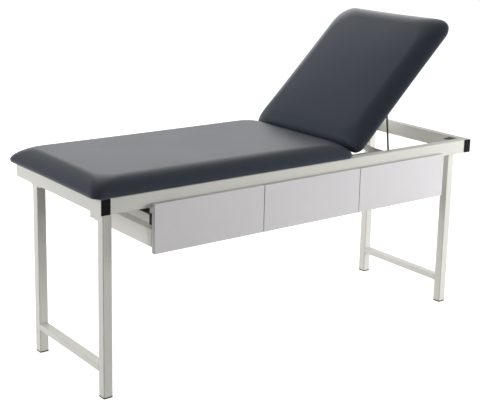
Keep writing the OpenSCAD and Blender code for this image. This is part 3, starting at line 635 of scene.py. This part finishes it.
def swell(obj):
    """Remeshes a closed body and blows it up as cloth under pressure, with its underside held.
    Of each point's move, only the part along its normal is kept, between a low and a high cap,
    and smoothed, so that the tight cover shows no wrinkles on its faces."""
    scene = bpy.context.scene
    remesh = obj.modifiers.new("Remesh", "REMESH")
    remesh.mode = "VOXEL"
    remesh.voxel_size = VOXEL
    mesh = bpy.data.meshes.new_from_object(obj.evaluated_get(bpy.context.evaluated_depsgraph_get()))
    obj.modifiers.clear()
    obj.data = mesh
    count = len(mesh.vertices)
    rest, normal = np.empty(count * 3), np.empty(count * 3)
    mesh.vertices.foreach_get("co", rest)
    mesh.vertices.foreach_get("normal", normal)
    rest, normal = rest.reshape(-1, 3), normal.reshape(-1, 3)
    held = obj.vertex_groups.new(name="stapled")
    held.add(np.flatnonzero(rest[:, 2] < HELD_H).tolist(), 1.0, "REPLACE")
    cloth = obj.modifiers.new("Cloth", "CLOTH")
    cloth.settings.quality = 3
    cloth.settings.mass = 0.4
    cloth.settings.tension_stiffness = 25
    cloth.settings.compression_stiffness = 25
    cloth.settings.shear_stiffness = 8
    cloth.settings.bending_stiffness = 2.0
    cloth.settings.use_pressure = True
    cloth.settings.uniform_pressure_force = 4.0
    cloth.settings.vertex_group_mass = "stapled"
    cloth.settings.effector_weights.gravity = 0.0
    cloth.collision_settings.use_collision = False
    cloth.point_cache.frame_start, cloth.point_cache.frame_end = 1, CLOTH_FRAMES
    for step in range(1, CLOTH_FRAMES + 1):
        scene.frame_set(step)
    done = bpy.data.meshes.new_from_object(obj.evaluated_get(bpy.context.evaluated_depsgraph_get()))
    obj.modifiers.clear()
    obj.vertex_groups.clear()
    scene.frame_set(1)
    co = np.empty(count * 3)
    done.vertices.foreach_get("co", co)
    out = np.clip(np.sum((co.reshape(-1, 3) - rest) * normal, axis=1), -SWELL_IN, SWELL_OUT)
    out = smoothed(done, out, SMOOTHING) * np.clip(rest[:, 2] / TUCK_H, 0, 1)
    rest += normal * out[:, None]
    done.vertices.foreach_set("co", rest.ravel())
    done.update()
    obj.data = done


def gathers(co, length, width, corners):
    """Small folds round the lower corners: the radius waves with a cosine of the angle, whose
    steps drift by a sine. They fade out upwards, downwards, to both sides and inwards."""
    up_fade = np.clip(1 - co[:, 2] / GATHER_TOP, 0, 1)
    low = up_fade * np.clip(co[:, 2] / GATHER_FADE, 0, 1)
    for cx, cy, r in corners:
        dx, dy = co[:, 0] - cx, co[:, 1] - cy
        outside = (np.sign(cx - length / 2) * dx > 0) & (np.sign(cy - width / 2) * dy > 0)
        dist = np.hypot(dx, dy) + 1e-9
        angle = np.arctan2(np.abs(dy), np.abs(dx))
        fade = np.sin(np.clip(angle, 0, np.pi / 2) * 2) ** 0.5
        wave = np.cos(angle * GATHER_FOLDS + np.sin(angle * DRIFT_RATE) * DRIFT)
        wave *= GATHER_DEPTH * fade * low * outside
        wave *= np.clip((dist / r - GATHER_START) / (1 - GATHER_START), 0, 1)
        co[:, 0] += dx / dist * wave
        co[:, 1] += dy / dist * wave
    return co


def cushion(name, length, width, r_low, r_high, place, body, node):
    """Padded cover over one board: lofted, swollen by cloth, gathered at its round corners."""
    room = SWELL_ROOM
    levels = cushion_levels(width) + [room, 0.0]
    levels[:, 1] -= room * np.clip(levels[:, 1] / EDGE_H, 0, 1)
    shell = slab(lambda d: cushion_outline(length, width, r_low, r_high, d), levels)
    obj = piece(name, shell, body, VINYL, 80)
    swell(obj)
    mesh = obj.data
    co = np.empty(len(mesh.vertices) * 3)
    mesh.vertices.foreach_get("co", co)
    corners = [(x, y, r) for x, r in ((r_low, r_low), (length - r_high, r_high))
               for y in (r, width - r)]
    co = gathers(co.reshape(-1, 3), length, width, corners)
    mesh.vertices.foreach_set("co", place(co).ravel())
    mesh.update()
    if not mesh.materials:
        mesh.materials.append(VINYL)
    mesh.polygons.foreach_set("use_smooth", np.ones(len(mesh.polygons), bool))
    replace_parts(obj, node)


def staple():
    """One staple: a flattened six-sided wire that dips into the board at both ends."""
    half, bend = STAPLE_HALF, STAPLE_HALF * 0.98
    a = np.arange(6) * np.pi / 3
    circle = STAPLE_WIRE * np.column_stack([0 * a, np.cos(a), 0.7 * np.sin(a)])
    path = np.array([[-half, 0, STAPLE_DIP], [-bend, 0, -STAPLE_RISE],
                     [bend, 0, -STAPLE_RISE], [half, 0, STAPLE_DIP]])
    return loft(path[:, None] + circle)


def staple_line(points, pitch):
    """Staples along a closed line at equal steps of its length, each turned out of the line by
    a sine of its number."""
    ring = np.vstack([points, points[:1]])
    run = np.concatenate([[0], np.cumsum(np.linalg.norm(np.diff(ring, axis=0), axis=1))])
    count = int(run[-1] / pitch)
    at = (np.arange(count) + 0.5) * run[-1] / count
    spot, near = (np.column_stack([np.interp(at + ahead, run, ring[:, k]) for k in (0, 1)])
                  for ahead in (0, 0.001))
    run_x, run_y = (near - spot).T
    angle = np.arctan2(run_y, run_x) + STAPLE_LEAN * np.sin(np.arange(count) * 2.3)
    c, s, o, one = np.cos(angle), np.sin(angle), 0 * angle, 0 * angle + 1
    rows = [np.stack(row, 1) for row in ((c, s, o), (-s, c, o), (o, o, one))]
    return repeat(staple(), np.stack(rows, 1), np.column_stack([spot, o + LINING_LOW]))


def lining(name, length, width, r_low, r_high, place, body, node):
    """Thin lining sheet under the board, with a stapled edge."""
    def shape(inset):
        """The board's outline, a lining's inset further in."""
        return board_shape(length, width, r_low, r_high, LINING_INSET + inset)

    shell = slab(shape, [(LINING_ROUND, LINING_LOW), (0.0, LINING_RISE),
                         (0.0, LINING_T + LINING_RISE)])
    obj = piece(name, placed(shell, place), body, LINING)
    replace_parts(obj, node)
    stapled = staple_line(shape(STAPLE_INSET), STAPLE_PITCH)
    piece(name.replace("lining", "staples"), placed(stapled, place), body, WIRE)


low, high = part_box("foot_cushion")
FOOT_CUSHION_L, CUSHION_W = high.x - low.x, high.y - low.y
FOOT_AT = np.array([low.x, low.y, low.z])
BACK_AT = np.array([HALF_GAP, low.y, BOARD_LOW])
FOOT_SHAPE = (FOOT_CUSHION_L, CUSHION_W, FOOT_CORNER, HINGE_CORNER)
BACK_SHAPE = (BACK_CUSHION_L, CUSHION_W, HINGE_CORNER, HEAD_CORNER)


def place_foot(verts):
    """Points of the foot cushion's own frame moved to the foot board."""
    return verts + FOOT_AT


def place_back(verts):
    """Points of the backrest cushion's own frame moved to the tilted backrest board."""
    return on_backrest(verts + BACK_AT)


cushion("foot_cushion_cover", *FOOT_SHAPE, place_foot, "frame", "foot_cushion")
cushion("backrest_cushion_cover", *BACK_SHAPE, place_back, "backrest", "backrest_cushion")
lining("foot_lining", *FOOT_SHAPE, place_foot, "frame", "foot_board")
lining("backrest_lining", *BACK_SHAPE, place_back, "backrest", "backrest_board")


# Drawer fronts: a laminated face, and an edge band with a fine joint line round it

def drawer_front(i):
    """Board with a face sheet, an edge strip round it, and a dark joint line between them."""
    node, body = f"drawer_front_{i}", f"drawer_{i}"
    lo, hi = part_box(node)
    w, t, h = hi.x - lo.x, hi.y - lo.y, hi.z - lo.z

    def shape(inset):
        """The front's outline with fine round corners."""
        return outline(w, h, FRONT_CORNER, FRONT_CORNER, inset, 0.0, 5, 2)

    def place(verts):
        """Points of a lying board stood up, with its top face towards the room."""
        return np.column_stack([verts[:, 0] + lo.x, hi.y - verts[:, 2], verts[:, 1] + lo.z])

    strip = slab(shape, [(FRONT_RIM, 0.0), (EASE_FULL, 0.0), (EASE, 0.0003), (0.0, 0.0009),
                         (0.0, t - BAND_END - 0.0004), (EASE, t - BAND_END),
                         (FRONT_RIM, t - BAND_END)])
    joint = slab(shape, [(FRONT_RIM, t - JOINT_BACK), (JOINT_IN, t - JOINT_BACK),
                         (JOINT_IN, t - JOINT_FRONT), (FRONT_RIM, t - JOINT_FRONT)])
    face = slab(shape, [(FRONT_RIM, t - FACE_T), (EASE, t - FACE_T), (0.0, t - FACE_T + EASE),
                        (EASE, t - EASE), (EASE_FULL, t), (FRONT_RIM, t)])
    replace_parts(piece(f"drawer_front_face_{i}", placed(face, place), body, FRONT), node)
    piece(f"drawer_front_edge_{i}", placed(strip, place), body, EDGE_BAND)
    piece(f"drawer_front_joint_{i}", placed(joint, place), body, JOINT)


for i in DRAWERS:
    drawer_front(i)


# Screws, rivets, caps and welds

def screw_head(radius, height):
    """Domed head with a cross recess: inside it the radius waves with four times the angle."""
    a = np.arange(16) * 2 * np.pi / 16
    circle = np.stack([np.cos(a), np.sin(a), 0 * a], 1)
    cross = 1 + 0.45 * np.cos(4 * a)[:, None]
    levels = ((1.0, -0.3, 1), (1.0, 0.35, 1), (0.85, 0.75, 1), (0.55, 1.0, 1),
              (0.36, 1.0, cross), (0.22, 0.35, cross))
    return loft([circle * radius * r * wave + [0, 0, height * z] for r, z, wave in levels])


def rivet_head(radius, height):
    """Low dome: radius and height follow a quarter circle."""
    a = np.linspace(0, np.pi / 2, 5)[:-1]
    return lathe([(radius, -0.3 * height), *zip(radius * np.cos(a), height * np.sin(a))], 16)


def bead(start, end, side_a, side_b, size):
    """Weld in the corner of two faces: an arc between their directions, rippled along its run."""
    start, end = np.array(start, float), np.array(end, float)
    side_a, side_b = np.array(side_a, float), np.array(side_b, float)
    length = np.linalg.norm(end - start)
    if np.dot(np.cross(side_a, side_b), end - start) < 0:
        side_a, side_b = side_b, side_a
    steps = max(int(length / BEAD_STEP), 6)
    s = np.linspace(0, 1, steps + 1)[:, None, None]
    taper = np.clip(np.minimum(s, 1 - s) * length / (0.6 * size), 0.15, 1) ** 0.5
    ripple = size * taper * (1 + RIPPLE * np.abs(np.sin(s * length * np.pi / RIPPLE_PITCH)))
    a = np.linspace(0, np.pi / 2, 5)[:, None]
    section = np.vstack([-0.2 * (side_a + side_b), np.cos(a) * side_a + np.sin(a) * side_b])
    return loft(start + (end - start) * s + section[None] * ripple)


def frame_welds():
    """Beads at the stretchers, cross rails, rail corners, hinge lugs, rack plates and seats."""
    beads = []

    def level(x0, x1, y, z, inward, up, size):
        """Bead along X in the corner of a face across Y and a level one."""
        beads.append(bead([x0, y, z], [x1, y, z], [0, inward, 0], [0, 0, up], size))

    def upright(x, y, z0, z1, out, inward, size):
        """Bead up the corner of a face across X and a face across Y."""
        beads.append(bead([x, y, z0], [x, y, z1], [out, 0, 0], [0, inward, 0], size))

    for name in ("foot_stretcher", "head_stretcher"):
        lo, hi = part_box(name)
        for y, inward in ((lo.y, 1), (hi.y, -1)):
            for z, up in ((hi.z, 1), (lo.z, -1)):
                level(lo.x + SIDE_SHORT, hi.x - SIDE_SHORT, y, z, inward, up, TUBE_BEAD)
    rail_sides = ((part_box("front_rail")[1].y, 1), (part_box("rear_rail")[0].y, -1))
    for name in ("foot_cross_rail", "middle_cross_rail", "hinge_cross_rail"):
        lo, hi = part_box(name)
        for y, inward in rail_sides:
            level(lo.x + SIDE_SHORT, hi.x - SIDE_SHORT, y, lo.z, inward, -1, TUBE_BEAD)
            for x, out in ((lo.x, -1), (hi.x, 1)):
                z0, z1 = lo.z + LOW_SHORT, hi.z - TOP_SHORT
                upright(x, y, z0, z1, out, inward, TUBE_BEAD)
    foot_lo, foot_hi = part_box("foot_end_rail")
    z0, z1 = foot_lo.z + TOP_SHORT, foot_hi.z - TOP_SHORT
    for x, out in ((foot_hi.x, 1), (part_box("head_end_rail")[0].x, -1)):
        for y, inward in rail_sides:
            upright(x, y, z0, z1, out, inward, CORNER_BEAD)
    lugs_lo, lugs_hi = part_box("hinge_lugs")
    lug_faces = ((lugs_lo.y, -1), (lugs_lo.y + LUG_W, 1),
                 (lugs_hi.y - LUG_W, -1), (lugs_hi.y, 1))
    z0, z1 = lugs_lo.z + PLATE_SHORT, foot_hi.z - LUG_TOP_SHORT
    for y, outward in lug_faces:
        upright(lugs_lo.x, y, z0, z1, 1, outward, PLATE_BEAD)
    rack_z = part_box("front_rack_plate")[0].z
    for y, inward in rail_sides:
        for x in RACK_BEAD_X:
            level(x, x + RACK_BEAD_L, y, rack_z, inward, -1, PLATE_BEAD)
    seat_lo, seat_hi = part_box("rail_seats")
    z0, z1 = seat_lo.z + PLATE_SHORT, seat_hi.z - PLATE_SHORT
    for y, inward in ((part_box("foot_front_leg")[1].y, 1), (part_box("foot_rear_leg")[0].y, -1)):
        upright(seat_hi.x, y, z0, z1, 1, inward, SEAT_BEAD)
    piece("frame_welds", join(beads), "frame", POWDER, 50)


def unit_sides(inset):
    """Places along X an inset in from the low side and the high side of each unit."""
    return UNIT_STARTS + inset, UNIT_STARTS + UNIT_W - inset


def spots(xs, ys, zs):
    """Every combination of some X, Y and Z places, as rows."""
    return np.array([(x, y, z) for x in xs for y in ys for z in zs])


def stand(shell, normal, places):
    """Copies of a shell that stand along a normal at some places."""
    return repeat(shell, axes_on(normal), places)


def cabinet_fixings():
    """Screws up through the flanges of straps and hangers, rivets on the carriers' sides, and
    screws in the back panel."""
    straps_lo, straps_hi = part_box("front_straps")
    rear_lo, rear_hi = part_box("rear_rail")
    flange_x = np.concatenate(unit_sides(FLANGE_IN))
    flange_z = straps_hi.z - STRAP_T
    flanges = np.concatenate([spots(flange_x, [(box[0].y + box[1].y) / 2], [flange_z])
                              for box in ((straps_lo, straps_hi), (rear_lo, rear_hi))])
    screws = stand(screw_head(*FLANGE_SCREW), [0, 0, -1], flanges)
    piece("strap_screws", screws, "frame", ZINC)

    rails_lo, rails_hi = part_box("runner_rails_1")
    runner_z = (rails_lo.z + rails_hi.z) / 2
    heads = []
    for xs, out in zip(unit_sides(JOGGLE), (-1, 1)):
        places = spots(xs, STRAP_RIVET_Y, STRAP_RIVET_Z)
        heads.append(stand(rivet_head(*STRAP_RIVET), [out, 0, 0], places))
    for xs, out in zip(unit_sides(0), (-1, 1)):
        places = spots(xs, RUNNER_RIVET_Y, [runner_z])
        heads.append(stand(rivet_head(*RUNNER_RIVET), [out, 0, 0], places))
    piece("carrier_rivets", join(heads), "frame", POWDER)

    panel_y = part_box("cabinet_back_panel")[0].y + SHEET_T
    panel_x = np.column_stack(unit_sides(PANEL_SCREW_IN)).ravel()
    places = spots(panel_x, [panel_y], PANEL_SCREW_Z)
    panel = stand(screw_head(*PANEL_SCREW), [0, 1, 0], places)
    piece("rear_panel_screws", panel, "frame", ZINC)


def drawer_fixings(i):
    """Cam caps inside the sides behind the front, and screws of the rear board in the sides."""
    body = f"drawer_{i}"
    lo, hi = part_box(f"drawer_sides_{i}")
    back_lo, back_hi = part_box(f"drawer_back_{i}")
    cap = lathe([(0.0085, -0.0003), (0.0085, 0.0006), (0.0078, 0.0011), (0.0020, 0.0012)], 24)
    caps, screws = [], []
    for x, inner_x, out in ((lo.x, lo.x + BOARD_T, -1), (hi.x, hi.x - BOARD_T, 1)):
        caps.append(stand(cap, [-out, 0, 0], spots([inner_x], [lo.y + CAP_BACK], CAP_Z)))
        place = spots([x], [(back_lo.y + back_hi.y) / 2], [DRAWER_SCREW_Z])
        screws.append(stand(screw_head(*DRAWER_SCREW), [out, 0, 0], place))
    piece(f"drawer_cam_caps_{i}", join(caps), body, CAP)
    piece(f"drawer_screws_{i}", join(screws), body, ZINC)


def backrest_fixings():
    """Plate welded on each hinge arm with its screws, and screws in the prop brackets' flanges."""
    plate_low = BOARD_LOW - PLATE_T + PLATE_SUNK

    def shape(inset):
        """The plate's outline with round corners."""
        return outline(PLATE_L, PLATE_W, PLATE_ROUND, PLATE_ROUND, inset, 0.0, 5, 2)

    plate = slab(shape, [(PLATE_EASE, 0.0), (0.0, PLATE_EASE), (0.0, PLATE_T)])
    plates, screws = [], []
    for side_way in (-1, 1):
        y = MIDDLE_Y + side_way * ARM_Y
        corner = np.array([PLATE_U, y - PLATE_W / 2, plate_low])
        plates.append((plate[0] + corner, *plate[1:]))
        places = spots(PLATE_SCREW_U, (y - PLATE_SCREW_V, y + PLATE_SCREW_V), [plate_low])
        screws.append(stand(screw_head(*ARM_SCREW), [0, 0, -1], places))
        y = MIDDLE_Y + side_way * BRACKET_Y
        bracket_x = (BRACKET_U - BRACKET_SCREW_U, BRACKET_U + BRACKET_SCREW_U)
        places = spots(bracket_x, [y], [BRACKET_LOW])
        screws.append(stand(screw_head(*FLANGE_SCREW), [0, 0, -1], places))
    plates, screws = placed(join(plates), on_backrest), placed(join(screws), on_backrest)
    piece("hinge_arm_plates", plates, "backrest", DARK_STEEL)
    piece("backrest_screws", screws, "backrest", ZINC)


def prop_fittings():
    """Pale nylon sleeve at the foot of each arm, and a clip ring beside each bracket's eye."""
    top = np.array([PROP_TURN[0], 0, PROP_TURN[2]])
    inner_r = SLEEVE_R - SLEEVE_EASE
    sleeve = lathe([(inner_r, SLEEVE_FROM), (SLEEVE_R, SLEEVE_FROM + 0.0008),
                    (SLEEVE_R, SLEEVE_TO - 0.0006), (inner_r, SLEEVE_TO)], 20)
    sleeves = []
    for arm in ("prop_front_arm", "prop_rear_arm"):
        lo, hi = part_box(arm)
        foot = PROP_FOOT + [0, (lo.y + hi.y) / 2, 0]
        sleeves.append(stand(sleeve, PROP_FOOT - top, [foot]))
    ring = lathe([(CLIP_INNER_R, -CLIP_HALF), (CLIP_OUTER_R, -CLIP_HALF),
                  (CLIP_OUTER_R, CLIP_HALF), (CLIP_INNER_R, CLIP_HALF)], 24)
    clip_y = (BRACKET_INNER, 2 * MIDDLE_Y - BRACKET_INNER)
    clips = stand(ring, [0, 1, 0], spots([top[0]], clip_y, [top[2]]))
    piece("prop_sleeves", join(sleeves), "prop", SLEEVE)
    piece("pivot_clips", clips, "prop", ZINC)


frame_welds()
cabinet_fixings()
for i in DRAWERS:
    drawer_fixings(i)
backrest_fixings()
prop_fittings()


# Camera, light and background

FLOOR_HALF = 14.0
FLOOR_TONE = (0.50, 0.50, 0.50)
GLOW_FROM, GLOW_TO = 1.0, 4.5


def look_from_photo():
    """Camera at the solved place; its axes come from azimuth, downward angle and roll."""
    az, el, roll = (math.radians(v) for v in (CAMERA_AZIMUTH, CAMERA_DOWN, CAMERA_ROLL))
    ahead = np.array([math.sin(az) * math.cos(el), math.cos(az) * math.cos(el), -math.sin(el)])
    level = np.cross(ahead, [0, 0, 1])
    level /= np.linalg.norm(level)
    plumb = np.cross(ahead, level)
    right = level * math.cos(roll) + plumb * math.sin(roll)
    down = plumb * math.cos(roll) - level * math.sin(roll)
    data = bpy.data.cameras.new("Camera")
    data.sensor_width = SENSOR_MM
    data.lens = FOCAL_PX * SENSOR_MM / IMAGE_W
    data.shift_x = (IMAGE_W / 2 - AXIS_PX[0]) / IMAGE_W
    data.shift_y = (AXIS_PX[1] - IMAGE_H / 2) / IMAGE_W
    camera = bpy.data.objects.new("Camera", data)
    bpy.context.scene.collection.objects.link(camera)
    axes = np.column_stack([right, -down, -ahead])
    camera.matrix_world = Matrix.Translation(CAMERA_AT) @ Matrix(axes.tolist()).to_4x4()
    bpy.context.scene.camera = camera


def seen_directly(tree):
    """1 for rays from the camera, in mirrors and through glass, else 0."""
    path = tree.nodes.new("ShaderNodeLightPath")
    camera, mirror = path.outputs["Is Camera Ray"], path.outputs["Is Glossy Ray"]
    either = math_node(tree, "MAXIMUM", camera, mirror)
    return math_node(tree, "MAXIMUM", either, path.outputs["Is Transmission Ray"])


def pale_world(strength):
    """World that lights at one strength and shows as plain white."""
    world = bpy.data.worlds.new("Studio")
    bpy.context.scene.world = world
    world.use_nodes = True
    tree = world.node_tree
    shade = tree.nodes["Background"]
    feed(tree, shade.inputs["Color"], (1.0, 1.0, 1.0))
    seen = seen_directly(tree)
    tree.links.new(math_node(tree, "MAXIMUM", seen, strength), shade.inputs["Strength"])


def pale_floor(near_glow):
    """Large floor that keeps the couch's soft shadow. Where it is seen it glows, from near_glow
    close to the couch, smoothly rising with the distance to full white."""
    verts = FLOOR_HALF * np.array([[-1, -1, 0], [1, -1, 0], [1, 1, 0], [-1, 1, 0]])
    mesh = bpy.data.meshes.new("floor")
    mesh.from_pydata(verts.tolist(), [], [[0, 1, 2, 3]])
    floor = bpy.data.objects.new("floor", mesh)
    bpy.context.scene.collection.objects.link(floor)
    material = bpy.data.materials.new("Studio floor")
    material.use_nodes = True
    tree = material.node_tree
    tree.nodes.remove(tree.nodes["Principled BSDF"])
    matt = tree.nodes.new("ShaderNodeBsdfDiffuse")
    feed(tree, matt.inputs["Color"], FLOOR_TONE)
    reach = tree.nodes.new("ShaderNodeVectorMath")
    reach.operation = "LENGTH"
    tree.links.new(tree.nodes.new("ShaderNodeTexCoord").outputs["Object"], reach.inputs[0])
    rise = tree.nodes.new("ShaderNodeMapRange")
    rise.interpolation_type = "SMOOTHSTEP"
    for label, value in (("From Min", GLOW_FROM), ("From Max", GLOW_TO),
                         ("To Min", near_glow), ("To Max", 1.0)):
        rise.inputs[label].default_value = value
    tree.links.new(reach.outputs["Value"], rise.inputs["Value"])
    glow = tree.nodes.new("ShaderNodeEmission")
    tree.links.new(math_node(tree, "MULTIPLY", seen_directly(tree), rise.outputs[0]),
                   glow.inputs["Strength"])
    both = tree.nodes.new("ShaderNodeAddShader")
    tree.links.new(matt.outputs[0], both.inputs[0])
    tree.links.new(glow.outputs[0], both.inputs[1])
    tree.links.new(both.outputs[0], tree.nodes["Material Output"].inputs["Surface"])
    mesh.materials.append(material)
    floor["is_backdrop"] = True


def soft_light(name, place, target, size, watts, mirrored=False):
    """Square area light at a place, aimed at a target, mirrored by glossy surfaces or not."""
    data = bpy.data.lights.new(name, "AREA")
    data.size, data.energy = size, watts
    lamp = bpy.data.objects.new(name, data)
    bpy.context.scene.collection.objects.link(lamp)
    away = np.array(place, float) - np.array(target, float)
    away /= np.linalg.norm(away)
    across = np.cross([0, 0, 1], away)
    across /= np.linalg.norm(across)
    axes = np.column_stack([across, np.cross(away, across), away])
    lamp.matrix_world = Matrix.Translation(place) @ Matrix(axes.tolist()).to_4x4()
    lamp.visible_glossy = mirrored


look_from_photo()
pale_world(strength=0.21)
pale_floor(near_glow=0.82)
soft_light("foot_side_light", (-5.6, 2.9, 2.3), (0.0, 0.0, 0.6), size=2.4, watts=205)
soft_light("head_front_light", (3.9, -2.8, 1.2), (0.3, -0.3, 0.6), size=2.0, watts=205)
soft_light("far_side_light", (-0.9, 3.6, 1.5), (0.9, 0.1, 0.75), size=1.2, watts=70)
soft_light("sheen_light", (2.1, 3.4, 3.7), (-0.3, 0.0, 0.85), size=3.6, watts=56, mirrored=True)
bpy.context.scene.view_settings.view_transform = "Standard"

low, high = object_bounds()
